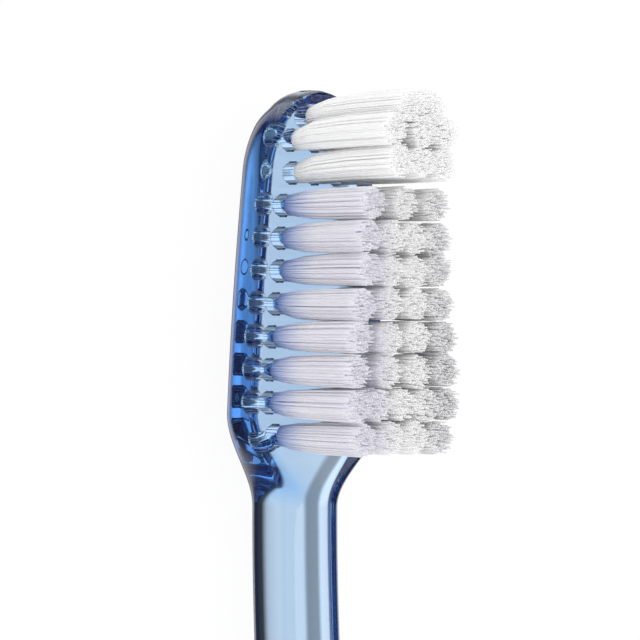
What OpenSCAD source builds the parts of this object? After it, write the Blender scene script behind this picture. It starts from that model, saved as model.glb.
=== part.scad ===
// A manual toothbrush lying on its back, with the bristles up.
// X runs along the handle towards the tip of the head, Y across it, and Z is the way that the bristles point.
// Places along the brush are written as distances from the tip of the head, called d here.

/* [Whole brush] */
// Length from the tail to the tip of the head
overall_l = 190; // [165:1:215]
// Height of the bristle face above the surface that the back rests on
face_z = 9; // [8:0.1:11]

/* [Head] */
// Length from the tip to where the shoulder ends at the neck
head_l = 33.2; // [31:0.1:38]
// Width at the widest place
head_w = 13.9; // [13:0.1:16]
// Width that the egg-shaped outline has at the tip, before the tip is rounded
head_tip_w = 9.6; // [9:0.1:11]
// Thickness from the bristle face to the back
head_t = 5.4; // [4.8:0.1:6]
// Length over which the tip is rounded
tip_round_l = 6.4; // [5.5:0.1:8]
// Length over which the head draws in to the neck
shoulder_l = 7.5; // [6:0.1:9]
// Radius of the edge round the bristle face
face_edge_r = 0.85; // [0.4:0.05:1]
// Radius of the edge round the back of the head
back_edge_r = 3; // [2:0.1:3.4]

/* [Neck] */
// Width of the neck beside the head, without its bulge
neck_w = 5.1; // [4.6:0.1:6]
// Thickness of the neck beside the head, without its bulge
neck_t = 5.7; // [5.2:0.1:6.5]
// Length of the slim part of the neck
neck_l = 30; // [20:0.5:40]
// Width of the neck where it starts to widen into the grip
neck_end_w = 5.2; // [4.6:0.1:7]
// Radius of the edges along the front of the neck
neck_front_r = 1.2; // [0.8:0.05:2]
// Radius of the edges along the back of the neck
neck_back_r = 1.5; // [0.8:0.05:2]
// How far the sides of the neck bulge past its width, each way
neck_side_bulge = 0.6; // [0.2:0.05:0.8]
// How far the front and the back of the neck bulge past its thickness, each way
neck_front_bulge = 0.45; // [0.2:0.05:0.6]
// How far the neck rises from the head to the grip
neck_rise = 1.2; // [0:0.1:1.6]

/* [Grip] */
// Width at the thumb rest
thumb_w = 12.4; // [10:0.1:15]
// Width at the waist behind the thumb rest
waist_w = 10.4; // [8:0.1:13]
// Width at the palm swell
palm_w = 13.6; // [11:0.1:16]
// Width where the tail starts to round off
tail_w = 10.8; // [9:0.1:13]
// Height of the front at the thumb rest
thumb_z = 7.2; // [6:0.1:8]
// Height of the front at the palm swell
palm_z = 9.4; // [8:0.1:11]
// Height of the front at the tail
tail_z = 6.6; // [5.5:0.1:8]
// Radius of the edges along the front of the grip
grip_front_r = 2.8; // [1.5:0.1:3.2]
// Radius of the edges along the back of the grip
grip_back_r = 1.8; // [1:0.1:2.4]
// Length over which the tail is rounded
tail_round_l = 9; // [6:0.1:11]
// Number of ribs on the thumb rest
rib_count = 7; // [3:1:9]
// Distance from one rib to the next
rib_pitch = 2.4; // [1.8:0.1:3]
// Height of a rib above the thumb rest
rib_h = 0.45; // [0.2:0.05:0.7]

/* [Bristles] */
// Length of the clear bristles that stand out of the bristle face
bristle_l = 9.9; // [9:0.1:12]
// Length of the white bristles near the tip
white_bristle_l = 11.8; // [9:0.1:13]
// Diameter of the bores that hold the tufts
bore_d = 1.65; // [1.4:0.05:1.8]
// Depth of the bores
bore_depth = 2.9; // [2.6:0.1:3.2]
// Distance from the tip to the middle of the first row
first_row_in = 2.15; // [2:0.05:2.6]
// Distance from the first row to the second
first_pitch = 1.9; // [1.85:0.05:2.3]
// Distance from the middle of the last row to the neck
last_row_from_neck = 5.8; // [5:0.1:7]
// How much wider a tuft is at its tip than in its bore, along the brush
tuft_spread = 0.7; // [0:0.05:0.8]
// How far the tips of the white tufts lean towards the tip of the brush
white_lean = 0.4; // [0:0.1:0.9]
// Number of strands drawn in a tuft
strand_count = 10; // [7:1:11]
// Thickness of a strand as it is drawn
strand_t = 0.27; // [0.15:0.01:0.3]
// How much the lengths of the strands in a tuft differ
strand_ragged = 0.5; // [0:0.05:0.8]

/* [Anchors] */
// Length of the anchor plate, across the bore and into its wall
anchor_l = 1.85; // [1.8:0.05:2.05]
// Height of the anchor plate
anchor_h = 1.2; // [1:0.05:1.5]
// Thickness of the anchor plate
anchor_t = 0.25; // [0.15:0.01:0.35]
// Thickness of the folded bristles between the anchor and the floor of the bore
fold_t = 0.45; // [0.3:0.05:0.6]
// Clearance round a tuft in its bore and round an anchor in its slot
fit = 0.02; // [0.01:0.005:0.03]

/* [Hidden] */

// Places along the brush, as distances from the tip
shoulder_d = head_l - shoulder_l;
neck_end_d = head_l + neck_l;
grip_l = overall_l - neck_end_d;
thumb_share = 0.29;
waist_share = 0.46;
palm_share = 0.72;
thumb_d = neck_end_d + thumb_share * grip_l;
waist_d = neck_end_d + waist_share * grip_l;
palm_d = neck_end_d + palm_share * grip_l;
tail_d = overall_l - tail_round_l;

rib_span = rib_pitch * rib_count;

// Widths and heights along the handle: distance from the tip, then the size there
handle_widths = [[head_l, neck_w], [neck_end_d, neck_end_w], [thumb_d, thumb_w], [waist_d, waist_w],
    [palm_d, palm_w], [tail_d, tail_w]];
// A cut leaves each flat face true, so the moulding is drawn past it by this share of the edge radius
skim_share = 0.14;
skim = face_edge_r * skim_share;
// The crest of the neck's front stays below the bristle face by this share of its bulge
crest_drop_share = 0.1;
neck_front = face_z - neck_front_bulge * (1 + crest_drop_share);
neck_back = neck_front - neck_t;
front_heights = [[shoulder_d, face_z + skim], [head_l, neck_front], [neck_end_d, neck_front + neck_rise],
    [thumb_d, thumb_z], [palm_d, palm_z], [tail_d, tail_z]];
back_heights = [[shoulder_d, face_z - head_t], [head_l, neck_back], [neck_end_d, neck_back + neck_rise],
    [thumb_d - rib_span / 2, -skim]];
side_bulges = [[shoulder_d, 0], [head_l, neck_side_bulge], [neck_end_d, neck_side_bulge],
    [thumb_d - rib_span / 2, 0]];
front_bulges = [[shoulder_d, 0], [head_l, neck_front_bulge], [neck_end_d, neck_front_bulge],
    [thumb_d - rib_span / 2, 0]];
front_radii = [[shoulder_d, face_edge_r], [head_l, neck_front_r], [neck_end_d, neck_front_r],
    [thumb_d, grip_front_r]];
back_radii = [[shoulder_d, back_edge_r], [head_l, neck_back_r], [neck_end_d, neck_back_r],
    [thumb_d, grip_back_r]];

// The very tip and tail stay blunt by this share of the width there
blunt_share = 0.14;
// No edge radius takes more than this share of the section that it rounds
round_share = 0.48;
// How much of the height below a front edge a back edge can take
back_room_share = 0.97;
corner_steps = 4;

// Tufts: columns in each row, and how far the outer columns stand out, as a share of the head's half width
row_columns = [2, 3, 3, 3, 4, 4, 4, 4, 4, 5, 4];
outer_shares = [0.29, 0.53, 0.42, 0.57, 0.58, 0.58, 0.62, 0.66, 0.68, 0.67, 0.62];
// Places of the columns between the two outer ones, as shares of the outer one's distance from the middle
column_shares = [[], [], [-1, 1], [-1, 0, 1], [-1, -0.34, 0.34, 1], [-1, -0.52, 0, 0.52, 1]];
white_rows = 3;
last_row = len(row_columns) - 1;
row_pitch = (head_l - last_row_from_neck - first_row_in - first_pitch) / (last_row - 1);
tufts = [for (row = [0:last_row]) for (column = [0:row_columns[row] - 1]) [row, column]];

// Inside a tuft
plug_r = bore_d / 2 - fit;
strand_root = fold_t;
across_spread_share = 0.45;
// Strands stand in two rings: this share of them in the inner one, at this share of the outer one's radius
inner_count_share = 0.3;
inner_ring_share = 0.45;
inner_count = round(strand_count * inner_count_share);
outer_count = strand_count - inner_count;
// The outer ring stands in from the side of the plug by this share of a strand's thickness
foot_inset_share = 0.8;
foot_r = plug_r - strand_t * foot_inset_share;
// Cuts run this far past the faces that they open
overrun = 1;

// A step from 0 to 1 with a soft start and end
function ease(t) = let (u = min(1, max(0, t))) u * u * (3 - 2 * u);

// The value at distance d in a list of places and values, easing from each to the next
function along(list, d) =
    d <= list[0][0] ? list[0][1] :
    d >= list[len(list) - 1][0] ? list[len(list) - 1][1] :
    let (i = [for (k = [0:len(list) - 2]) if (d < list[k + 1][0]) k][0])
    let (t = (d - list[i][0]) / (list[i + 1][0] - list[i][0]))
    list[i][1] + (list[i + 1][1] - list[i][1]) * ease(t);

// How full a rounded end is at distance d from it, from 0 at the end to 1 past its length
function fullness(d, length) = d >= length ? 1 : sqrt(max(0, 1 - pow(1 - d / length, 2)));

// The egg-shaped belly of the head, growing from the tip to the shoulder
function belly(d) =
    let (t = min(1, max(0, d / shoulder_d)))
    (head_tip_w + (head_w - head_tip_w) * (t + sin(90 * t)) / 2) / 2;

// Half of the width of the moulding
function half_w(d) =
    let (tip = max(blunt_share, fullness(d, tip_round_l)))
    let (tail = max(blunt_share, fullness(overall_l - d, tail_round_l)))
    let (into_neck = ease((d - shoulder_d) / shoulder_l))
    (belly(d) * (1 - into_neck) + along(handle_widths, d) / 2 * into_neck) * tip * tail;

// The ribs of the thumb rest, which swell and fade from the middle one to the last
rib_fade_share = 0.4;
function rib(d) =
    let (u = (d - thumb_d) / rib_span + 0.5)
    u <= 0 || u >= 1 ? 0
        : rib_h * pow(sin(180 * u * rib_count), 2) * (1 - rib_fade_share * (1 - sin(180 * u)));

// Heights of the front and the back, both drawn in round the tip and the tail
tail_edge_r = tail_z * round_share;
function front(d) = along(front_heights, d) + rib(d) - face_edge_r * (1 - fullness(d, face_edge_r))
    - tail_edge_r * (1 - fullness(overall_l - d, tail_edge_r));
function back(d) = along(back_heights, d) + back_edge_r * (1 - fullness(d, back_edge_r))
    + tail_edge_r * (1 - fullness(overall_l - d, tail_edge_r));

function to_x(d) = overall_l / 2 - d;

// One corner of a section: an arc of radius r round its own centre, from the angle start
function corner(d, y, z, r, start) =
    [for (k = [0:corner_steps]) let (a = start + 90 * k / corner_steps)
        [to_x(d), y + r * cos(a), z + r * sin(a)]];

// A point of a section moved outwards by the bulges: most at the middle of a side, and not at all at the corners
function bulged(p, w, top, low, side, bow) =
    let (down = (top - p[2]) / (top - low), out = p[1] / w)
    [p[0], p[1] + side * out * 4 * down * (1 - down), p[2] + bow * (1 - out * out) * (1 - 2 * down)];

// The rounded section of the moulding at distance d, counter-clockwise as seen from the tip
function section(d) =
    let (w = half_w(d), top = front(d), low = back(d))
    let (limit = min(w * 2, top - low) * round_share)
    let (rf = min(along(front_radii, d), limit))
    let (rb = min(along(back_radii, d), w * 2 * round_share, (top - low - rf) * back_room_share))
    let (x = to_x(d), side_z = (top - rf + low + rb) / 2)
    let (ring = concat(
        [[x, w, side_z]], corner(d, w - rf, top - rf, rf, 0),
        [[x, 0, top]], corner(d, rf - w, top - rf, rf, 90),
        [[x, -w, side_z]], corner(d, rb - w, low + rb, rb, 180),
        [[x, 0, low]], corner(d, w - rb, low + rb, rb, 270)))
    [for (p = ring) bulged(p, w, top, low, along(side_bulges, d), along(front_bulges, d))];

// Evenly spaced places from one distance up to, but not at, the next
function places(from, to, steps) = [for (k = [0:steps - 1]) from + (to - from) * k / steps];
// Places that crowd together towards a rounded end at distance zero
function end_places(length, steps) = [for (k = [0:steps - 1]) length * (1 - cos(90 * k / steps))];

tip_places = end_places(tip_round_l, 10);
tail_places = end_places(tail_round_l, 9);
stations = concat(
    tip_places,
    places(tip_round_l, shoulder_d, 8),
    places(shoulder_d, head_l, 12),
    places(head_l, neck_end_d, 8),
    places(neck_end_d, thumb_d - rib_span / 2, 8),
    places(thumb_d - rib_span / 2, thumb_d + rib_span / 2, rib_count * 6),
    places(thumb_d + rib_span / 2, palm_d, 9),
    places(palm_d, tail_d, 8),
    [for (k = [len(tail_places) - 1:-1:0]) overall_l - tail_places[k]]);

// A closed skin over equal rings of points, capped at both ends
module skin(rings) {
    n = len(rings[0]);
    last = len(rings) - 1;
    points = [for (ring = rings) for (p = ring) p];
    sides = [for (i = [0:last - 1]) for (j = [0:n - 1])
        let (a = i * n + j, b = i * n + (j + 1) % n)
        each [[a, b, b + n], [a, b + n, a + n]]];
    caps = [for (j = [1:n - 2]) each [[0, j + 1, j], [last * n, last * n + j, last * n + j + 1]]];
    polyhedron(points = points, faces = concat(sides, caps));
}

// Places of the tufts
function row_d(row) = row == 0 ? first_row_in : first_row_in + first_pitch + (row - 1) * row_pitch;
function is_white(place) = place[0] < white_rows;
function tuft_x(place) = to_x(row_d(place[0]));
function tuft_y(place) =
    half_w(row_d(place[0])) * outer_shares[place[0]] * column_shares[row_columns[place[0]]][place[1]];
function tuft_name(place) =
    str(is_white(place) ? "white" : "clear", "_tuft_", place[0] + 1, "_", place[1] + 1);

module at_tuft(place) {
    translate([tuft_x(place), tuft_y(place), face_z]) children();
}

// The slot for an anchor plate, or the plate itself when the clearance is zero. It stands on the fold.
module anchor_space(clearance) {
    space_l = anchor_l + 2 * clearance;
    space_t = anchor_t + 2 * clearance;
    translate([-space_l / 2, -space_t / 2, fold_t - bore_depth])
        cube([space_l, space_t, anchor_h + clearance]);
}

// Head, neck and handle, moulded in one piece
module handle() {
    color([0.36, 0.62, 0.93, 0.6])
    difference() {
        skin([for (d = stations) section(d)]);
        // The bristle face is a true plane
        translate([to_x(head_l), -head_w, face_z]) cube([head_l + overrun, 2 * head_w, overrun]);
        // The back of the grip is a true plane that the brush rests on
        translate([-overall_l / 2 - overrun, -palm_w, -overrun])
            cube([overall_l + 2 * overrun, 2 * palm_w, overrun]);
        for (place = tufts) at_tuft(place) {
            translate([0, 0, -bore_depth]) cylinder(d = bore_d, h = bore_depth + overrun, $fn = 32);
            anchor_space(fit);
        }
    }
}

// The metal plates that hold the folded tufts in their bores
module anchors() {
    color([0.72, 0.71, 0.68])
    for (place = tufts) at_tuft(place) anchor_space(0);
}

// One strand: a square prism that leans from its foot in the plug to its own place at the tip
module strand(foot, tip, turn) {
    corner_r = strand_t * sqrt(0.5);
    function square_round(p) =
        [for (k = [0:3]) let (a = turn + 45 + 90 * k)
            [p[0] + corner_r * cos(a), p[1] + corner_r * sin(a), p[2]]];
    skin([square_round(tip), square_round(foot)]);
}

// One tuft: the folded bundle that fills its bore, with its strands fused to it
module tuft(place) {
    white = is_white(place);
    lean = white ? white_lean : 0;
    spread_x = 1 + tuft_spread / 2 / foot_r;
    spread_y = 1 + tuft_spread * across_spread_share / 2 / foot_r;
    color(white ? [0.96, 0.96, 0.97] : [0.86, 0.86, 0.92, 0.8])
    at_tuft(place) {
        difference() {
            translate([0, 0, -bore_depth]) cylinder(r = plug_r, h = bore_depth, $fn = 32);
            anchor_space(fit);
        }
        for (k = [0:strand_count - 1]) {
            inner = k < inner_count;
            r = foot_r * (inner ? inner_ring_share : 1);
            a = inner ? 360 * k / inner_count : 360 * k / outer_count + 90;
            drop = strand_ragged * (0.5 + sin(a * (place[0] + 2) + 50 * place[1]) / 2);
            tip_z = (white ? white_bristle_l : bristle_l) - drop;
            strand([r * cos(a), r * sin(a), -strand_root],
                [lean + spread_x * r * cos(a), spread_y * r * sin(a), tip_z], a);
        }
    }
}

handle();
anchors();
for (place = tufts) tuft(place);
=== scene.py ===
"""A manual toothbrush: a clear blue moulding, forty tufts folded into its bores, and the plates holding them.

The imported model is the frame. Its origin is under the middle of the brush, +X points to the tip and +Z to the
bristles, and distances along the brush are counted from the tip.
"""

import math

import bpy
import numpy as np
from bpy.props import FloatProperty, FloatVectorProperty, IntProperty, PointerProperty
from bpy.types import Operator, Panel, PropertyGroup
from mathutils import Matrix, Vector


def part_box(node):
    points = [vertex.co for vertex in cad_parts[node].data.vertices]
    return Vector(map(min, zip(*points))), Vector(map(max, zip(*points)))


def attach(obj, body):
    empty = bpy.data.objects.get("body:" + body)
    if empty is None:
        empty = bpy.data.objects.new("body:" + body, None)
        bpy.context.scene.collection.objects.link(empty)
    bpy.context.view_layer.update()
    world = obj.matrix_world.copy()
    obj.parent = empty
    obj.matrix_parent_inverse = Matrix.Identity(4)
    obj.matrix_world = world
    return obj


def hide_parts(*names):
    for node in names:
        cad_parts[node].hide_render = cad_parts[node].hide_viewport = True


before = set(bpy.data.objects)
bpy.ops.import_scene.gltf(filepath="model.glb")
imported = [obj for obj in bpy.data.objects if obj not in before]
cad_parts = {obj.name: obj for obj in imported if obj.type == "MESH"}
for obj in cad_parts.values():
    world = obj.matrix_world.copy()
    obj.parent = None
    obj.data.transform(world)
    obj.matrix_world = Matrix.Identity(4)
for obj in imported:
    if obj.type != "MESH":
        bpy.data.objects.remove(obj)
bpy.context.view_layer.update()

bl_info = {
    "name": "Toothbrush",
    "version": (1, 0, 0),
    "blender": (4, 5, 0),
    "location": "3D View > Sidebar > Toothbrush",
    "description": "Dresses a manual toothbrush: clear moulding, folded tufts, anchors and a white stage",
    "category": "Object",
}

MM = 0.001
HANDLE_LOW, HANDLE_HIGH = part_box("handle")

# Columns in each row of tufts, and how far the outer ones stand out, as a share of the head's half width
ROW_COLUMNS = (2, 3, 3, 3, 4, 4, 4, 4, 4, 5, 4)
OUTER_SHARES = (0.29, 0.53, 0.42, 0.57, 0.58, 0.58, 0.62, 0.66, 0.68, 0.67, 0.62)
COLUMN_SHARES = {2: (-1, 1), 3: (-1, 0, 1), 4: (-1, -0.34, 0.34, 1), 5: (-1, -0.52, 0, 0.52, 1)}
WHITE_ROWS = 3
# Where the grip is widest, narrowest and widest again, as shares of its length
THUMB_SHARE, WAIST_SHARE, PALM_SHARE = 0.29, 0.46, 0.72
# How wide the very ends stay, as a share of the width behind them
BLUNT_SHARE = 0.14
# The most that an edge radius takes of a side, and the back edge of what the front edge leaves
ROUND_SHARE = 0.48
BACK_ROOM_SHARE = 0.97
# How far the face and the back are cut flat, as a share of the face's edge radius
SKIM_SHARE = 0.14
RIB_FADE_SHARE = 0.4
CREST_DROP_SHARE = 0.1
# Sections along each rounded end, the head, the shoulder, the neck, one rib and each half of the grip
ROUND_STEPS, HEAD_STEPS, SHOULDER_STEPS, NECK_STEPS, RIB_STEPS, GRIP_STEPS = 26, 40, 36, 24, 14, 30
BORE_SIDES, BORE_EDGE_STEPS = 40, 6
SHARP_ANGLE, FILAMENT_SHARP_ANGLE = math.radians(32), math.radians(60)
FACE_WEIGHT = 60
GOLDEN_ANGLE = math.pi * (3 - math.sqrt(5))
# The surroundings that show in the plastic and in gloss, as (degrees, level). They turn about the length of
# the brush: -90 is straight below it, 0 level on the far side, 90 straight above and 180 level on the
# camera's side. The first two stops are the ends of the turn
STUDIO = (
    (-180, 0.2), (180, 0.2),
    (-155, 0.9), (-130, 0.15), (-105, 0.15),    # a low light on the camera's side, from below
    (-95, 1.4), (-78, 1.4),                     # a bright strip below
    (-74, 0.5), (-64, 0.5),                     # a dim gap
    (-58, 1.1), (-20, 1.1),                     # a broad panel, low on the far side
    (-10, 0.1), (30, 0.1),                      # the dark on the far side
    (36, 1.5), (44, 1.5), (52, 0.6),            # a strip higher up there
    (70, 0.1), (120, 0.1),                      # the dark above
)
# Name, direction, size in metres and power in watts of each lamp
LAMPS = (("key_lamp", (0.2, 0.4, 1), 0.7, 3.0), ("fill_lamp", (-0.1, 0.6, 0.6), 0.9, 1.0))
LAMP_DISTANCE = 0.9
FLOOR_REACH = 1.2
# How much of the floor the camera sees as plain white. The rest is in light and holds the shadow
FLOOR_GLOW_SHARE = 0.94
SENSOR_WIDTH = 36
# Heights along a filament from its tip to the face, and how much of its way outwards it has gone there
HEIGHT_SHARES = (1, 0.55, 0.2, 0)
FLARE_SHARES = (1, 0.9, 0.6, 0)
# The fold round an anchor: how far out a filament still is, and how far down it has gone
FOLD_OUT_SHARES = (1, 0.87, 0.52)
FOLD_DOWN_SHARES = (0, 0.5, 0.9)
FOLD_START = 0.35 * MM
# How much of its radius the outermost filament presses into the bore's wall, and the least room beside an
# anchor, as a share of the gap there
PRESS_SHARE = 0.6
GAP_SHARE = 1.2
# Shape of the spread of the filaments' lengths: the most are a little short of the longest
RAGGED_BETA = (1.5, 2.4)
# On the plastic, which is painted with tints as painted light and shade: over what length a painted tint
# changes, where the face's painted shade starts past the neck, and how the side's painted shade comes in below
# the face and above the back
SKIN_BLEND, FACE_START = 1.5 * MM, 3.75 * MM
SIDE_BLEND, BACK_BLEND, BACK_MARGIN = 0.4 * MM, 0.5 * MM, 0.3 * MM
# Where the painted dark rim, painted shade at the outline, starts and how steeply it comes in, on the neck and
# how much more on the head
RIM_START, HEAD_RIM_START = 0.2, 0.2
RIM_STEEPNESS, HEAD_RIM_STEEPNESS = 3.6, 2
# On the clear nylon: where the near columns end and the far ones start, across the brush, with their blends,
# past which the middle columns are painted lighter and the far ones painted darker, and how far up the painted
# blue light from the plastic reaches and over what depth the painted shade in the bores comes in
INNER_Y, INNER_BLEND = 2.6 * MM, 2 * MM
FAR_Y, FAR_BLEND = -2 * MM, 3 * MM
ROOT_L, SUNK_BLEND = 4.5 * MM, 0.4 * MM
DULL_NYLON = (0.8, 0.8, 0.83)


def length(name, description, mm):
    """A property that holds a length, given here in millimetres and kept in metres."""
    return FloatProperty(name=name, description=description, default=mm * MM, unit="LENGTH", precision=5)


def share(name, description, value):
    """A property that holds a share or another plain number."""
    return FloatProperty(name=name, description=description, default=value)


def colour(name, description, value):
    """A property that holds a colour in linear light."""
    return FloatVectorProperty(
        name=name, description=description, default=value, size=3, subtype="COLOR", min=0, max=1
    )


class HandleSizes(PropertyGroup):
    """Sizes of the moulding: head, neck and handle in one piece."""

    overall_l: FloatProperty(
        name="Overall length", description="From the tip to the tail", unit="LENGTH", precision=5,
        default=HANDLE_HIGH.x - HANDLE_LOW.x,
    )
    face_z: length("Face height", "From the back of the grip to the bristle face", 9)
    head_l: length("Head length", "From the tip to the start of the neck", 33.2)
    head_w: length("Head width", "Across the head where it is widest", 13.9)
    head_tip_w: length("Tip width", "Across the head near its tip, before the end is rounded", 9.6)
    head_t: length("Head thickness", "From the bristle face to the back of the head", 5.4)
    tip_round_l: length("Tip rounding", "Length of the rounded tip", 6.4)
    shoulder_l: length("Shoulder length", "Over which the head narrows into the neck", 7.5)
    face_edge_r: length("Face edge", "Radius round the bristle face", 0.85)
    back_edge_r: length("Back edge", "Radius round the back of the head", 3)
    neck_w: length("Neck width", "Where the neck meets the head, without its bulge", 5.1)
    neck_t: length("Neck thickness", "From the front to the back of the neck, without its bulge", 5.7)
    neck_l: length("Neck length", "From the head to the grip", 30)
    neck_end_w: length("Neck end width", "Where the neck meets the grip, without its bulge", 5.2)
    neck_front_r: length("Neck front edge", "Radius of the edges along the front of the neck", 1.2)
    neck_back_r: length("Neck back edge", "Radius of the edges along the back of the neck", 1.5)
    neck_side_bulge: length("Side bulge", "How far the sides of the neck bulge, each way", 0.6)
    neck_front_bulge: length("Front bulge", "How far the front and back of the neck bulge, each way", 0.45)
    neck_rise: length("Neck rise", "How far the neck rises from the head to the grip", 1.2)
    thumb_w: length("Thumb width", "Across the grip at the ribs", 12.4)
    waist_w: length("Waist width", "Across the grip where it is narrowest", 10.4)
    palm_w: length("Palm width", "Across the grip where it is widest", 13.6)
    tail_w: length("Tail width", "Across the grip before its rounded end", 10.8)
    thumb_z: length("Thumb height", "Height of the front at the ribs", 7.2)
    palm_z: length("Palm height", "Height of the front at the palm", 9.4)
    tail_z: length("Tail height", "Height of the front at the tail", 6.6)
    grip_front_r: length("Grip front edge", "Radius of the front edges of the grip", 2.8)
    grip_back_r: length("Grip back edge", "Radius of the back edges of the grip", 1.8)
    tail_round_l: length("Tail rounding", "Length of the rounded tail", 9)
    rib_count: IntProperty(name="Ribs", description="Ribs of the thumb rest", default=7)
    rib_pitch: length("Rib pitch", "From one rib to the next", 2.4)
    rib_h: length("Rib height", "How far a rib stands up", 0.45)
    corner_steps: IntProperty(
        name="Corner steps", description="Faces round each edge of a section", default=12)
    side_steps: IntProperty(name="Side steps", description="Faces across each side of a section", default=8)


class TuftSizes(PropertyGroup):
    """Sizes of the tufts and their bores."""

    bore_d: length("Bore", "Diameter of the bore that holds a tuft", 1.65)
    bore_depth: length("Bore depth", "How deep a bore goes below the face", 2.9)
    bore_edge_r: length("Bore edge", "Radius round the bottom of a bore", 0.6)
    bristle_l: length("Clear length", "From the face to the longest clear tips", 9.9)
    white_bristle_l: length("White length", "From the face to the longest white tips", 11.8)
    first_row_in: length("First row", "From the tip to the first row", 2.15)
    first_pitch: length("First pitch", "From the first row to the second", 1.9)
    last_row_from_neck: length("Last row", "From the last row to the start of the neck", 5.8)
    tip_spread_x: length("Spread along", "How far the outer filaments move outwards, along the brush", 0.42)
    tip_spread_y: length("Spread across", "How far the outer filaments move outwards, across the brush", 0.42)
    white_lean: length("White lean", "How far the white tips lean towards the tip of the brush", 0.4)
    white_ragged: length("White ragged ends", "How much the white filaments differ in length", 0.5)
    ragged: length("Ragged ends", "How much the clear filaments differ in length", 1.1)
    stray: length("Stray", "How far a filament strays from its place at the tip", 0.08)
    tuft_lean: length("Lean of a tuft", "How far the tips of a tuft stand off to a side", 0.1)
    filament_d: length("Filament", "Diameter of one filament", 0.1)
    filament_count: IntProperty(name="Filaments", description="Folded filaments in a tuft", default=150)
    anchor_t: length("Anchor thickness", "Thickness of the metal plate", 0.25)
    anchor_h: length("Anchor height", "Height of the metal plate", 1.2)
    fold_t: length("Fold", "From the bottom of the bore to the anchor", 0.45)


class Finishes(PropertyGroup):
    """Colours of the materials, and the tints that paint light and shade on the plastic and on the clear nylon.
    """

    plastic_tint: colour("Plastic tint", "Colour that the clear plastic lets through", (0.17, 0.55, 0.89))
    plastic_density: share("Plastic density", "How strongly the plastic takes up light, per metre", 150)
    # Painted light and shade on the plastic: tints for the neck, for the face and back of the head, and for the
    # head's side
    neck_painted_tint: colour("Neck painted tint", "Warm tint painted on the neck as painted light, which pales its blue", (1.0, 0.93, 0.87))
    face_painted_shade: colour(
        "Face painted shade", "Grey tint painted on the face and back of the head as painted shade", (0.82, 0.82, 0.84))
    side_painted_shade: colour("Side painted shade", "Blue tint painted on the side of the head as painted shade", (0.58, 0.8, 1.0))
    # Painted shade: the dark rim at the plastic's outline
    rim_painted_shade: colour("Painted dark rim", "Painted shade at the plastic's outline", (0.02, 0.04, 0.10))
    clear_nylon: colour("Clear nylon", "Colour of the clear filaments", (0.966, 0.963, 0.98))
    # Painted light on the middle columns
    inner_painted_light: colour(
        "Inner nylon, painted light", "Colour of the clear filaments of the middle columns, painted lighter", (0.995, 0.995, 0.985))
    # Painted shade on the far columns
    far_painted_shade: colour("Far nylon, painted shade", "Colour of the clear filaments of the far columns, painted darker", (0.86, 0.86, 0.86))
    # Painted blue light: the blue that the plastic throws on the clear filaments near the face
    root_painted_blue_light: colour(
        "Painted blue light at the face", "Blue light painted on the clear filaments near the face", (0.18, 0.36, 0.78))
    # Painted shade on the clear filaments in the bores
    sunk_painted_shade: colour(
        "Painted shade in the bores", "Shade painted on the clear filaments below the face", (0.38, 0.42, 0.56))
    white_nylon: colour("White nylon", "Colour of the white filaments", (0.998, 0.998, 0.998))
    metal: colour("Anchor metal", "Colour of the anchors", (0.5, 0.52, 0.56))


class StageSettings(PropertyGroup):
    """The camera and the light."""

    camera_tilt: FloatProperty(
        name="Camera tilt", description="Height of the camera above the floor", subtype="ANGLE",
        default=math.radians(49),
    )
    camera_roll: FloatProperty(
        name="Camera roll", description="Turn of the camera round its view", subtype="ANGLE",
        default=math.radians(0.3),
    )
    camera_distance: length("Camera distance", "From the camera to what it looks at", 270)
    field: length("Field", "Width of the picture at what the camera looks at", 50.8)
    aim_from_tip: length("Aim", "From the tip to what the camera looks at", 18.27)
    aim_y: length("Aim sideways", "How far to the near side the camera looks", 0.28)


def ease(t):
    """A step from 0 to 1 with a soft start and end: 3 t squared less 2 t cubed."""
    u = np.clip(t, 0, 1)
    return u * u * (3 - 2 * u)


def along(stops, d):
    """The value at distance d in a list of (place, value), easing from each to the next."""
    value = np.full_like(d, stops[0][1], dtype=float)
    for (d0, v0), (d1, v1) in zip(stops, stops[1:]):
        value += (v1 - v0) * ease((d - d0) / (d1 - d0))
    return value


def fullness(d, reach):
    """A quarter circle: 0 at the end of a rounded length and 1 past it."""
    return np.sqrt(np.clip(1 - (1 - np.clip(d / reach, 0, 1)) ** 2, 0, 1))


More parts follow.
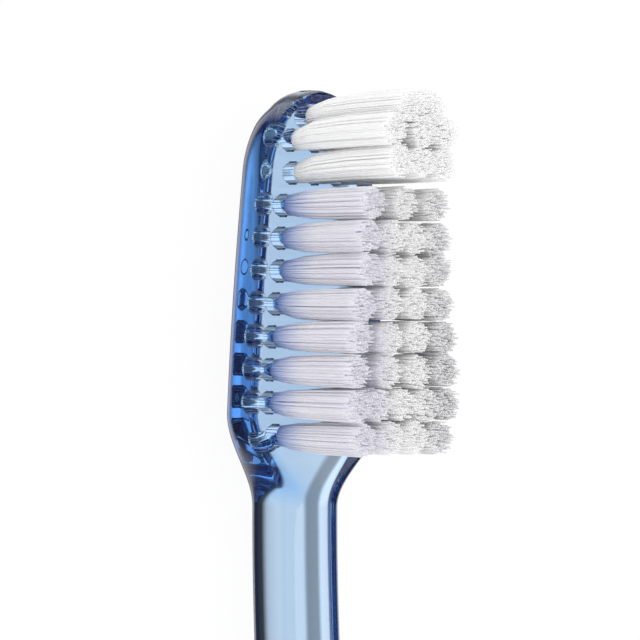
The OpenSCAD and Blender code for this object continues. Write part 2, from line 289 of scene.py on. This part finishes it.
class Moulding:
    """The shape of the moulding as functions of the distance from the tip."""

    def __init__(self, s):
        self.s = s
        self.shoulder = s.head_l - s.shoulder_l
        self.neck_end = s.head_l + s.neck_l
        grip = s.overall_l - self.neck_end
        self.thumb = self.neck_end + THUMB_SHARE * grip
        self.waist = self.neck_end + WAIST_SHARE * grip
        self.palm = self.neck_end + PALM_SHARE * grip
        self.tail = s.overall_l - s.tail_round_l
        self.rib_span = s.rib_pitch * s.rib_count
        self.skim = s.face_edge_r * SKIM_SHARE
        self.neck_front = s.face_z - s.neck_front_bulge * (1 + CREST_DROP_SHARE)
        self.neck_back = self.neck_front - s.neck_t

    def half_width(self, d):
        """Half of an egg-shaped belly that eases into the neck and grip, times two rounded ends."""
        s = self.s
        t = np.clip(d / self.shoulder, 0, 1)
        belly = (s.head_tip_w + (s.head_w - s.head_tip_w) * (t + np.sin(math.pi / 2 * t)) / 2) / 2
        rest = along(
            [(s.head_l, s.neck_w), (self.neck_end, s.neck_end_w), (self.thumb, s.thumb_w),
             (self.waist, s.waist_w), (self.palm, s.palm_w), (self.tail, s.tail_w)], d) / 2
        into_neck = ease((d - self.shoulder) / s.shoulder_l)
        tip = np.maximum(BLUNT_SHARE, fullness(d, s.tip_round_l))
        tail = np.maximum(BLUNT_SHARE, fullness(s.overall_l - d, s.tail_round_l))
        return (belly * (1 - into_neck) + rest * into_neck) * tip * tail

    def rib(self, d):
        """Squared sine waves that swell and fade from the middle rib to the last."""
        s = self.s
        u = np.clip((d - self.thumb) / self.rib_span + 0.5, 0, 1)
        fade = 1 - RIB_FADE_SHARE * (1 - np.sin(math.pi * u))
        return s.rib_h * np.sin(math.pi * u * s.rib_count) ** 2 * fade

    def tail_drop(self, d):
        """How far the front and back draw together round the tail."""
        edge = self.s.tail_z * ROUND_SHARE
        return edge * (1 - fullness(self.s.overall_l - d, edge))

    def front(self, d):
        """Height of the front: over the head, the neck and the thumb up to the palm, then down to the tail."""
        s = self.s
        height = along(
            [(self.shoulder, s.face_z + self.skim), (s.head_l, self.neck_front),
             (self.neck_end, self.neck_front + s.neck_rise), (self.thumb, s.thumb_z), (self.palm, s.palm_z),
             (self.tail, s.tail_z)], d)
        return height + self.rib(d) - s.face_edge_r * (1 - fullness(d, s.face_edge_r)) - self.tail_drop(d)

    def back(self, d):
        """Height of the back: the thin head, the thicker neck, then down to the surface that it rests on."""
        s = self.s
        height = along(
            [(self.shoulder, s.face_z - s.head_t), (s.head_l, self.neck_back),
             (self.neck_end, self.neck_back + s.neck_rise), (self.thumb - self.rib_span / 2, -self.skim)], d)
        return height + s.back_edge_r * (1 - fullness(d, s.back_edge_r)) + self.tail_drop(d)

    def bulge(self, amount, d):
        """A bulge that grows from nothing over the shoulder and fades again into the grip."""
        return along(
            [(self.shoulder, 0), (self.s.head_l, amount), (self.neck_end, amount),
             (self.thumb - self.rib_span / 2, 0)], d)

    def stations(self):
        """Distances of the sections, crowded towards both rounded ends and over the ribs."""
        s = self.s
        round_in = 1 - np.cos(np.linspace(0, math.pi / 2, ROUND_STEPS))
        ribs = self.thumb - self.rib_span / 2, self.thumb + self.rib_span / 2
        parts = [
            s.tip_round_l * round_in,
            np.linspace(s.tip_round_l, self.shoulder, HEAD_STEPS),
            np.linspace(self.shoulder, s.head_l, SHOULDER_STEPS),
            np.linspace(s.head_l, self.neck_end, NECK_STEPS),
            np.linspace(self.neck_end, ribs[0], NECK_STEPS),
            np.linspace(*ribs, s.rib_count * RIB_STEPS),
            np.linspace(ribs[1], self.palm, GRIP_STEPS),
            np.linspace(self.palm, self.tail, GRIP_STEPS),
            s.overall_l - s.tail_round_l * round_in[::-1],
        ]
        return np.unique(np.round(np.concatenate(parts), 8))

    def skin(self):
        """Rings of points: four rounded corners to a section, with bulging sides along the neck.

        A side moves outwards by 4 u (1 - u), with u from 0 at the front to 1 at the back, and the front and
        back by (1 - v squared) (1 - 2 u), with v from -1 to 1 across. All is clipped flat at the face and at
        the back that it rests on.
        """
        s = self.s
        d = self.stations()[:, None]
        w, top, low = self.half_width(d), self.front(d), self.back(d)
        limit = np.minimum(w * 2, top - low) * ROUND_SHARE
        front_r = np.minimum(limit, along(
            [(self.shoulder, s.face_edge_r), (s.head_l, s.neck_front_r), (self.neck_end, s.neck_front_r),
             (self.thumb, s.grip_front_r)], d))
        room = np.minimum(w * 2 * ROUND_SHARE, (top - low - front_r) * BACK_ROOM_SHARE)
        back_r = np.minimum(room, along(
            [(self.shoulder, s.back_edge_r), (s.head_l, s.neck_back_r), (self.neck_end, s.neck_back_r),
             (self.thumb, s.grip_back_r)], d))
        arc = np.linspace(0, math.pi / 2, s.corner_steps + 1)[None, :]
        ys, zs = [], []
        corners = ((1, 1, front_r, top), (-1, 1, front_r, top), (-1, -1, back_r, low), (1, -1, back_r, low))
        between = np.linspace(0, 1, s.side_steps + 1)[None, 1:-1]
        for quarter, (side, up, r, edge) in enumerate(corners):
            a = arc + quarter * math.pi / 2
            ys.append(side * (w - r) + r * np.cos(a))
            zs.append(edge - up * r + r * np.sin(a))
        for parts in (ys, zs):
            for quarter in range(4):
                start, end = parts[quarter][:, -1:], parts[(quarter + 1) % 4][:, :1]
                parts[quarter] = np.hstack([parts[quarter], start * (1 - between) + end * between])
        y, z = np.concatenate(ys, 1), np.concatenate(zs, 1)
        down, out = (top - z) / (top - low), y / w
        y = y + self.bulge(s.neck_side_bulge, d) * out * 4 * down * (1 - down)
        z = z + self.bulge(s.neck_front_bulge, d) * (1 - out ** 2) * (1 - 2 * down)
        z = np.maximum(np.where(d <= s.head_l, np.minimum(z, s.face_z), z), 0)
        x = np.broadcast_to(s.overall_l / 2 - d, y.shape)
        return np.stack([x, y, z], 2)


class TuftLayout:
    """Where the tufts stand."""

    def __init__(self, settings):
        self.s = settings.tufts
        self.h = settings.handle
        self.moulding = Moulding(self.h)

    def row_distance(self, row):
        """Distance of a row from the tip: the first pitch is its own, and the others share the rest."""
        s = self.s
        if row == 0:
            return s.first_row_in
        rest = self.h.head_l - s.last_row_from_neck - s.first_row_in - s.first_pitch
        return s.first_row_in + s.first_pitch + (row - 1) * rest / (len(ROW_COLUMNS) - 2)

    def places(self, white):
        """(node name, row, column, x, y) of each white or clear tuft."""
        rows = range(WHITE_ROWS) if white else range(WHITE_ROWS, len(ROW_COLUMNS))
        found = []
        for row in rows:
            d = self.row_distance(row)
            reach = float(self.moulding.half_width(np.array([d]))[0]) * OUTER_SHARES[row]
            for column, part in enumerate(COLUMN_SHARES[ROW_COLUMNS[row]]):
                name = f"{'white' if white else 'clear'}_tuft_{row + 1}_{column + 1}"
                found.append((name, row, column, self.h.overall_l / 2 - d, reach * part))
        return found


def new_object(name, points, faces):
    """An object at the origin from an array of points and lists of faces."""
    mesh = bpy.data.meshes.new(name)
    mesh.from_pydata(points.tolist(), [], faces)
    mesh.validate()
    mesh.update()
    piece = bpy.data.objects.new(name, mesh)
    bpy.context.scene.collection.objects.link(piece)
    return piece


def grid_faces(rows, columns, first=0):
    """Faces between the rings of a tube: point (i, j) joins (i, j + 1), (i + 1, j + 1) and (i + 1, j)."""
    i, j = np.meshgrid(np.arange(rows - 1), np.arange(columns), indexing="ij")
    k = (j + 1) % columns
    quads = np.stack([i * columns + j, i * columns + k, (i + 1) * columns + k, (i + 1) * columns + j], 2)
    return first + quads.reshape(-1, 4)


def settle(piece):
    """Applies the modifiers of a piece to its mesh."""
    depsgraph = bpy.context.evaluated_depsgraph_get()
    mesh = bpy.data.meshes.new_from_object(piece.evaluated_get(depsgraph))
    old = piece.data
    piece.modifiers.clear()
    piece.data = mesh
    mesh.name = piece.name
    bpy.data.meshes.remove(old)


def smooth(piece, angle):
    """Smooth shading that stays sharp where faces meet at more than an angle."""
    piece.data.polygons.foreach_set("use_smooth", [True] * len(piece.data.polygons))
    piece.data.set_sharp_from_angle(angle=angle)


class Wire:
    """An output of a shader node. Arithmetic on it adds Math nodes."""

    def __init__(self, finish, socket):
        self.finish = finish
        self.socket = socket

    def math(self, operation, *values):
        """A Math node on this wire and the given values."""
        return self.finish.node("ShaderNodeMath", {"operation": operation}, dict(enumerate(values)))

    def __add__(self, other):
        return self.math("ADD", self, other)

    def __sub__(self, other):
        return self.math("SUBTRACT", self, other)

    def __rsub__(self, other):
        return self.math("SUBTRACT", other, self)

    def __mul__(self, other):
        return self.math("MULTIPLY", self, other)

    def __truediv__(self, other):
        return self.math("DIVIDE", self, other)

    def __pow__(self, other):
        return self.math("POWER", self, other)

    def clamped(self):
        """The value kept from 0 to 1."""
        return self.finish.node("ShaderNodeClamp", {}, {"Value": self})

    __radd__ = __add__
    __rmul__ = __mul__


class Finish:
    """A material made from nodes."""

    def __init__(self, name, tree=None):
        if tree is None:
            self.material = bpy.data.materials.new(name)
            self.material.use_nodes = True
            tree = self.material.node_tree
        self.tree = tree
        tree.nodes.clear()

    def node(self, kind, settings=None, sockets=None, output=0):
        """A node of a type, with its settings, then its sockets' values or wires. Returns an output of it."""
        new = self.tree.nodes.new(kind)
        for key, value in (settings or {}).items():
            setattr(new, key, value)
        for key, value in (sockets or {}).items():
            if isinstance(value, Wire):
                self.tree.links.new(value.socket, new.inputs[key])
            else:
                new.inputs[key].default_value = value
        return Wire(self, new.outputs[output]) if len(new.outputs) else None

    def place(self):
        """The place on the object, split into x, y and z."""
        at = self.node("ShaderNodeTexCoord", output=3)
        split = self.node("ShaderNodeSeparateXYZ", {}, {0: at}).socket.node
        return at, [Wire(self, split.outputs[k]) for k in range(3)]

    def noise(self, at, scale, detail=2.0):
        """Noise of a scale per metre at a place."""
        return self.node("ShaderNodeTexNoise", {}, {"Vector": at, "Scale": scale, "Detail": detail})

    def mix(self, factor, a, b):
        """A colour between a and b."""
        return self.node(
            "ShaderNodeMix", {"data_type": "RGBA"}, {0: factor, 6: opaque(a), 7: opaque(b)}, output=2
        )

    def ramp(self, factor, stops):
        """A grey that follows a list of (degrees, level) round a full turn."""
        wire = self.node("ShaderNodeValToRGB", {}, {0: factor})
        elements = wire.socket.node.color_ramp.elements
        for index, (degrees, level) in enumerate(stops):
            place = degrees / 360 + 0.5
            stop = elements[index] if index < 2 else elements.new(place)
            stop.position, stop.color = place, (level, level, level, 1)
        return wire

    def bump(self, height, strength, distance):
        """A normal from a height."""
        return self.node("ShaderNodeBump", {}, {"Height": height, "Strength": strength, "Distance": distance})

    def surface(self, shader, volume=None):
        """Ends the material in a surface, and in a volume where it has one."""
        sockets = {"Surface": shader}
        if volume:
            sockets["Volume"] = volume
        self.node("ShaderNodeOutputMaterial", {}, sockets)
        return self.material


def opaque(value):
    """A colour of three numbers gets its alpha, and a wire stays as it is."""
    return value if isinstance(value, Wire) else (*value, 1)


def clear_blue_plastic(colours, handle):
    """Clear moulded plastic: almost smooth, and tinted by the way that light goes in it.

    Its surface is painted with a tint for each place, as painted light and shade: a warm painted tint that
    pales the neck's blue, a grey painted shade on the face and back of the head and a deeper blue painted shade
    on the head's side.
    It turns to a painted dark rim, painted shade that stands in for the dark surroundings seen at the outline,
    where it is seen at a grazing angle, later and more steeply on the head.
    """
    f = Finish("clear blue plastic")
    at, (x, _, z) = f.place()
    past_neck = (x - (handle.overall_l / 2 - handle.head_l)) / SKIN_BLEND
    head = past_neck.clamped()
    face = (past_neck - FACE_START / SKIN_BLEND).clamped()
    below_face = ((handle.face_z - z) / SIDE_BLEND).clamped()
    above_back = ((z - handle.face_z + handle.head_t) / BACK_BLEND - BACK_MARGIN / BACK_BLEND).clamped()
    side = below_face * above_back * head
    # Painted light and shade: a warm tint on the neck, a grey shade on the face and back of the head and a
    # deeper blue shade on the head's side
    skin = f.mix(side, f.mix(face, colours.neck_painted_tint, colours.face_painted_shade), colours.side_painted_shade)
    # Painted shade: the dark rim where the plastic is seen at a grazing angle
    facing = f.node("ShaderNodeLayerWeight", {}, {"Blend": 0.5}, output=1)
    grazing = facing - RIM_START - head * HEAD_RIM_START
    rim = f.mix((grazing * (RIM_STEEPNESS + head * HEAD_RIM_STEEPNESS)).clamped(), skin, colours.rim_painted_shade)
    wave = f.bump(f.noise(at, 260), 0.05, 0.0004)
    shader = f.node("ShaderNodeBsdfPrincipled", {}, {
        "Base Color": rim, "Roughness": 0.015, "IOR": 1.5, "Transmission Weight": 1, "Normal": wave,
    })
    volume = f.node("ShaderNodeVolumeAbsorption", {}, {
        "Color": opaque(colours.plastic_tint), "Density": colours.plastic_density,
    })
    return f.surface(shader, volume)


def clear_nylon(colours, face_z):
    """Clear nylon: scatters light forwards and back, with a soft gloss, and has painted blue light near the
    plastic, painted shade in the bores, and its middle columns painted lighter and its far ones painted darker.
    """
    f = Finish("clear nylon")
    at, (_, y, z) = f.place()
    # Painted light on the middle columns and painted shade on the far ones, across the brush
    inner = ((INNER_Y - y) / INNER_BLEND).clamped()
    far = ((FAR_Y - y) / FAR_BLEND).clamped()
    # Painted blue light near the face, fading up the filaments
    root = (1 - (z - face_z) / ROOT_L).clamped() ** 2
    # Painted shade in the bores, below the face
    sunk = ((face_z - z) / SUNK_BLEND).clamped()
    column_tone_and_painted_light = f.mix(far, f.mix(inner, colours.clear_nylon, colours.inner_painted_light), colours.far_painted_shade)
    tone = f.mix(f.noise(at, 900, 3.0) * 0.1, column_tone_and_painted_light, DULL_NYLON)
    near = f.mix(root * 0.85, tone, colours.root_painted_blue_light)
    # The opacity and the translucent share change with the painted blue light, the painted shade in the bores
    # and the painted light on the middle columns
    gloss = f.node("ShaderNodeBsdfPrincipled", {}, {
        "Base Color": f.mix(sunk, near, colours.sunk_painted_shade), "Roughness": 0.35, "IOR": 1.35,
        "Alpha": 0.7 - root * 0.15 + sunk * 0.45 + inner * 0.15,
    })
    glow = f.node("ShaderNodeBsdfTranslucent", {}, {"Color": opaque(colours.clear_nylon)})
    through = 0.5 - root * 0.25 - inner * 0.2
    return f.surface(f.node("ShaderNodeMixShader", {}, {0: through, 1: gloss, 2: glow}))


def white_nylon(colours):
    """White nylon: lets some light through, a little glossy, with faint differences in tone."""
    f = Finish("white nylon")
    at, _ = f.place()
    tone = f.mix(f.noise(at, 700), tuple(0.985 * c for c in colours.white_nylon), colours.white_nylon)
    gloss = f.node("ShaderNodeBsdfPrincipled", {}, {"Base Color": tone, "Roughness": 0.42, "IOR": 1.35})
    glow = f.node("ShaderNodeBsdfTranslucent", {}, {"Color": opaque(colours.white_nylon)})
    return f.surface(f.node("ShaderNodeMixShader", {}, {0: 0.5, 1: gloss, 2: glow}))


def anchor_metal(colours):
    """Stamped nickel silver, with the fine drag marks of the shear."""
    f = Finish("anchor metal")
    at, _ = f.place()
    drag = f.noise(f.node("ShaderNodeMapping", {}, {"Vector": at, "Scale": (1, 1, 6)}), 2200, 4.0)
    shader = f.node("ShaderNodeBsdfPrincipled", {}, {
        "Base Color": f.mix(drag, tuple(0.8 * c for c in colours.metal), colours.metal),
        "Metallic": 1, "Roughness": drag * 0.25 + 0.22, "Normal": f.bump(drag, 0.3, 0.00002),
    })
    return f.surface(shader)


def bore_cutter(places, tufts, face_z):
    """One cutter of closed turned shapes, one to a bore.

    Each has a flat bottom, a quarter circle round its edge, and a wall up past the face.
    """
    sides = BORE_SIDES
    a = np.arange(sides) * 2 * math.pi / sides
    ring = np.stack([np.cos(a), np.sin(a)], 1)
    edge = np.linspace(0, math.pi / 2, BORE_EDGE_STEPS)
    radii = np.append(tufts.bore_d / 2 - tufts.bore_edge_r * (1 - np.sin(edge)), tufts.bore_d / 2)
    heights = np.append(face_z - tufts.bore_depth + tufts.bore_edge_r * (1 - np.cos(edge)), face_z + MM)
    rings = len(radii)
    points, faces = [], []
    for index, (_, _, _, x, y) in enumerate(places):
        first = index * rings * sides
        for r, z in zip(radii, heights):
            points.append(np.column_stack([ring * r + (x, y), np.full(sides, z)]))
        top = first + (rings - 1) * sides
        faces += grid_faces(rings, sides, first).tolist()
        faces += [list(range(first + sides - 1, first - 1, -1)), list(range(top, top + sides))]
    return new_object("bore_cutter", np.concatenate(points), faces)


def make_handle(settings):
    """Skins the moulding, bores it and replaces the CAD handle."""
    rings = Moulding(settings.handle).skin()
    stations, count = rings.shape[:2]
    faces = grid_faces(stations, count).tolist()
    faces += [list(range(count - 1, -1, -1)), list(range((stations - 1) * count, stations * count))]
    piece = new_object("clear_moulding", rings.reshape(-1, 3), faces)
    layout = TuftLayout(settings)
    places = layout.places(True) + layout.places(False)
    cutter = bore_cutter(places, settings.tufts, settings.handle.face_z)
    cut = piece.modifiers.new("Bores", "BOOLEAN")
    cut.operation, cut.solver, cut.object = "DIFFERENCE", "EXACT", cutter
    settle(piece)
    bpy.data.objects.remove(cutter)
    smooth(piece, SHARP_ANGLE)
    weighted = piece.modifiers.new("Face normals", "WEIGHTED_NORMAL")
    weighted.mode, weighted.weight, weighted.keep_sharp = "FACE_AREA", FACE_WEIGHT, True
    settle(piece)
    piece.data.materials.append(clear_blue_plastic(settings.finishes, settings.handle))
    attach(piece, "root")
    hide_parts("handle")


def sunflower(count, radius):
    """Even places in the half disc where y is positive: golden angle turns, radius as the index's root."""
    k = np.arange(count * 2)
    r = radius * np.sqrt((k + 0.5) / len(k))
    x, y = r * np.cos(k * GOLDEN_ANGLE), r * np.sin(k * GOLDEN_ANGLE)
    order = np.argsort(-y)[:count]
    return x[order], np.abs(y[order])


def filament_paths(tufts, row, column, reach_z, lean, ragged):
    """Centre lines of the folded filaments of one tuft, as an array of filament, ring and x, y, z.

    Each runs from one tip down to the mouth, beside the anchor and round its foot, and up again on the other
    side. Above the mouth a filament moves outwards in proportion to its place in the bundle, with a small
    error of its own, and the whole tuft leans a little, no two alike.
    """
    random = np.random.default_rng(100 * row + column)
    count = tufts.filament_count
    half = tufts.filament_d / 2
    reach = tufts.bore_d / 2 - half * (1 - PRESS_SHARE)
    foot_x, foot_y = sunflower(count, reach)
    gap = tufts.anchor_t / 2 + half
    room = np.sqrt(np.clip(reach ** 2 - foot_x ** 2, (gap * GAP_SHARE) ** 2, None))
    beside = gap + foot_y * (room - gap) / room
    floor = -tufts.bore_depth + half
    anchor_foot = -tufts.bore_depth + tufts.fold_t
    anchor_top = anchor_foot + tufts.anchor_h
    depth = np.clip((beside - gap) / (reach - gap), 0, 1)
    fold = anchor_foot - half + (floor - anchor_foot + half) * depth
    lean_x, lean_y = random.normal(0, tufts.tuft_lean, 2)
    halves = []
    for side in (1, -1):
        out_x = foot_x / reach * tufts.tip_spread_x + random.normal(0, tufts.stray, count) + lean + lean_x
        out_y = foot_y / reach * tufts.tip_spread_y * side + random.normal(0, tufts.stray, count) + lean_y
        tip_z = reach_z - half - ragged * random.beta(*RAGGED_BETA, count)
        x = [foot_x + out_x * part for part in FLARE_SHARES] + [foot_x] * (1 + len(FOLD_OUT_SHARES))
        y = [foot_y * side + out_y * part for part in FLARE_SHARES] + [foot_y * side] + [
            beside * side * part for part in FOLD_OUT_SHARES]
        z = [tip_z * part for part in HEIGHT_SHARES] + [np.full(count, anchor_top + FOLD_START)] + [
            anchor_foot + (fold - anchor_foot) * part for part in FOLD_DOWN_SHARES]
        halves.append(np.stack([np.array(x), np.array(y), np.array(z)], 2).transpose(1, 0, 2))
    middle = np.stack([foot_x, np.zeros(count), fold], 1)[:, None, :]
    return np.concatenate([halves[0], middle, halves[1][:, ::-1]], 1)


def tubes(paths, radius, sides=4):
    """Tubes round many paths at once: rings of a radius square to each path, closed flat on both tips."""
    tangent = np.gradient(paths, axis=1)
    tangent /= np.linalg.norm(tangent, axis=2, keepdims=True)
    across = np.array([1.0, 0.0, 0.0]) - tangent * tangent[:, :, :1]
    across /= np.linalg.norm(across, axis=2, keepdims=True)
    other = np.cross(tangent, across)
    a = np.arange(sides) * 2 * math.pi / sides
    ring = across[:, :, None] * np.cos(a)[:, None] + other[:, :, None] * np.sin(a)[:, None]
    points = (paths[:, :, None] + radius * ring).reshape(-1, 3)
    count, rings = paths.shape[:2]
    step = rings * sides
    quads = grid_faces(rings, sides)[None] + np.arange(count)[:, None, None] * step
    faces = quads.reshape(-1, 4).tolist()
    starts = np.arange(count)[:, None] * step
    faces += (starts + np.arange(sides)[::-1]).tolist()
    faces += (starts + step - sides + np.arange(sides)).tolist()
    return points, faces


def make_tufts(settings, white):
    """Builds each white or clear tuft as a piece of its own in place of its CAD node."""
    layout = TuftLayout(settings)
    face_z = settings.handle.face_z
    if white:
        material, slot = white_nylon(settings.finishes), "white_nylon"
        reach_z, lean = settings.tufts.white_bristle_l, settings.tufts.white_lean
        ragged = settings.tufts.white_ragged
    else:
        material, slot = clear_nylon(settings.finishes, face_z), "clear_nylon"
        reach_z, lean, ragged = settings.tufts.bristle_l, 0, settings.tufts.ragged
    for node, row, column, x, y in layout.places(white):
        paths = filament_paths(settings.tufts, row, column, reach_z, lean, ragged)
        points, faces = tubes(paths, settings.tufts.filament_d / 2)
        piece = new_object("filaments_" + node, points + (x, y, face_z), faces)
        smooth(piece, FILAMENT_SHARP_ANGLE)
        piece.data.materials.append(material)
        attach(piece, "root")
        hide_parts(node)


def make_stage(settings):
    """A white floor that keeps the shadow, the surroundings, two soft lamps and the camera."""
    corners = FLOOR_REACH * np.array([(-1, -1, 0), (1, -1, 0), (1, 1, 0), (-1, 1, 0)], float)
    floor = new_object("floor", corners, [[0, 1, 2, 3]])
    floor.data.materials.append(floor_paint())
    make_surroundings()
    aim_x = settings.handle.overall_l / 2 - settings.stage.aim_from_tip
    aim = Vector((aim_x, settings.stage.aim_y, settings.handle.face_z))
    for lamp in LAMPS:
        add_lamp(aim, *lamp)
    add_camera(settings.stage, aim)
    bpy.context.scene.view_settings.view_transform = "Standard"
    paths = bpy.context.scene.cycles
    paths.max_bounces, paths.glossy_bounces, paths.transmission_bounces = 32, 28, 28
    paths.diffuse_bounces, paths.transparent_max_bounces = 24, 24


def make_surroundings():
    """White to the camera and to light that a matt surface scattered, and the studio's panels to the rest."""
    world = bpy.data.worlds.new("studio")
    bpy.context.scene.world = world
    world.use_nodes = True
    f = Finish("studio", world.node_tree)
    path = f.node("ShaderNodeLightPath").socket.node.outputs
    seen, matt = Wire(f, path["Is Camera Ray"]), Wire(f, path["Diffuse Depth"]).clamped()
    at = f.node("ShaderNodeTexCoord", output=0)
    split = f.node("ShaderNodeSeparateXYZ", {}, {0: at}).socket.node.outputs
    turn = Wire(f, split[2]).math("ARCTAN2", Wire(f, split[2]), Wire(f, split[1]) * -1)
    studio = f.ramp(turn / (2 * math.pi) + 0.5, STUDIO)
    sky = f.mix(matt, studio, (1, 1, 1))
    shown = f.mix(seen, sky, (1, 1, 1))
    light = f.node("ShaderNodeBackground", {}, {"Color": shown, "Strength": 1.0})
    f.node("ShaderNodeOutputWorld", {}, {"Surface": light})


def add_camera(s, aim):
    """A camera on the near side, turned up the brush, so that its tip is at the top of the picture."""
    view = Vector((0, math.cos(s.camera_tilt), math.sin(s.camera_tilt)))
    up_axis = Vector((1, 0, 0))
    right = up_axis.cross(view)
    turn = Matrix((right, up_axis, view)).transposed().to_4x4()
    camera = bpy.data.cameras.new("camera")
    camera.sensor_width = SENSOR_WIDTH
    camera.lens = camera.sensor_width * s.camera_distance / s.field
    camera.clip_start, camera.clip_end = 0.01, 20
    holder = bpy.data.objects.new("camera", camera)
    bpy.context.scene.collection.objects.link(holder)
    roll = Matrix.Rotation(s.camera_roll, 4, "Z")
    holder.matrix_world = Matrix.Translation(aim + view * s.camera_distance) @ turn @ roll
    bpy.context.scene.camera = holder


def floor_paint():
    """White to the camera, matt in light, which keeps the shadow, and clear to gloss and to the plastic."""
    f = Finish("floor white")
    path = f.node("ShaderNodeLightPath").socket.node.outputs
    matt = f.node("ShaderNodeBsdfDiffuse", {}, {"Color": (0.9, 0.9, 0.9, 1)})
    glow = f.node("ShaderNodeEmission", {}, {"Color": (1, 1, 1, 1), "Strength": 1.0})
    clear = f.node("ShaderNodeBsdfTransparent", {}, {"Color": (1, 1, 1, 1)})
    seen = Wire(f, path["Is Camera Ray"]) * FLOOR_GLOW_SHARE
    shown = f.node("ShaderNodeMixShader", {}, {0: seen, 1: matt, 2: glow})
    through = (Wire(f, path["Is Glossy Ray"]) + Wire(f, path["Is Transmission Ray"])
               - Wire(f, path["Diffuse Depth"])).clamped()
    return f.surface(f.node("ShaderNodeMixShader", {}, {0: through, 1: shown, 2: clear}))


def add_lamp(aim, name, towards, size, power):
    """A square soft lamp at a fixed distance from the brush, turned to it and unseen through the plastic."""
    direction = Vector(towards).normalized()
    lamp = bpy.data.lights.new(name, "AREA")
    lamp.shape, lamp.size, lamp.energy = "SQUARE", size, power
    holder = bpy.data.objects.new(name, lamp)
    bpy.context.scene.collection.objects.link(holder)
    holder.location = aim + direction * LAMP_DISTANCE
    holder.visible_transmission = False
    holder.rotation_euler = direction.to_track_quat("Z", "Y").to_euler()


class ToothbrushSettings(PropertyGroup):
    """All that a user would change."""

    handle: PointerProperty(type=HandleSizes)
    tufts: PointerProperty(type=TuftSizes)
    finishes: PointerProperty(type=Finishes)
    stage: PointerProperty(type=StageSettings)


class TOOTHBRUSH_OT_moulding(Operator):
    """Make the clear blue moulding with its bores"""

    bl_idname = "toothbrush.moulding"
    bl_label = "Moulding"

    def execute(self, context):
        make_handle(context.scene.toothbrush)
        return {"FINISHED"}


class TOOTHBRUSH_OT_anchors(Operator):
    """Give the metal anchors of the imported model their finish"""

    bl_idname = "toothbrush.anchors"
    bl_label = "Anchors"

    def execute(self, context):
        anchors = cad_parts["anchors"]
        anchors.data.materials.clear()
        anchors.data.materials.append(anchor_metal(context.scene.toothbrush.finishes))
        return {"FINISHED"}


class TOOTHBRUSH_OT_white_tufts(Operator):
    """Make the eight white tufts near the tip"""

    bl_idname = "toothbrush.white_tufts"
    bl_label = "White tufts"

    def execute(self, context):
        make_tufts(context.scene.toothbrush, white=True)
        return {"FINISHED"}


class TOOTHBRUSH_OT_clear_tufts(Operator):
    """Make the 32 clear tufts"""

    bl_idname = "toothbrush.clear_tufts"
    bl_label = "Clear tufts"

    def execute(self, context):
        make_tufts(context.scene.toothbrush, white=False)
        return {"FINISHED"}


class TOOTHBRUSH_OT_stage(Operator):
    """Make the floor, the light and the camera"""

    bl_idname = "toothbrush.stage"
    bl_label = "Stage"

    def execute(self, context):
        make_stage(context.scene.toothbrush)
        return {"FINISHED"}


class TOOTHBRUSH_PT_tools(Panel):
    """The steps that make the brush"""

    bl_idname = "TOOTHBRUSH_PT_tools"
    bl_label = "Toothbrush"
    bl_space_type = "VIEW_3D"
    bl_region_type = "UI"
    bl_category = "Toothbrush"

    def draw(self, context):
        for step in STEPS:
            self.layout.operator(step.bl_idname)


STEPS = (
    TOOTHBRUSH_OT_moulding, TOOTHBRUSH_OT_anchors, TOOTHBRUSH_OT_white_tufts, TOOTHBRUSH_OT_clear_tufts,
    TOOTHBRUSH_OT_stage,
)
CLASSES = (HandleSizes, TuftSizes, Finishes, StageSettings, ToothbrushSettings, *STEPS, TOOTHBRUSH_PT_tools)


def register():
    for item in CLASSES:
        bpy.utils.register_class(item)
    bpy.types.Scene.toothbrush = PointerProperty(type=ToothbrushSettings)


def unregister():
    del bpy.types.Scene.toothbrush
    for item in reversed(CLASSES):
        bpy.utils.unregister_class(item)


def main():
    register()
    bpy.ops.toothbrush.moulding()
    bpy.ops.toothbrush.anchors()
    bpy.ops.toothbrush.white_tufts()
    bpy.ops.toothbrush.clear_tufts()
    bpy.ops.toothbrush.stage()


if __name__ == "__main__":
    main()
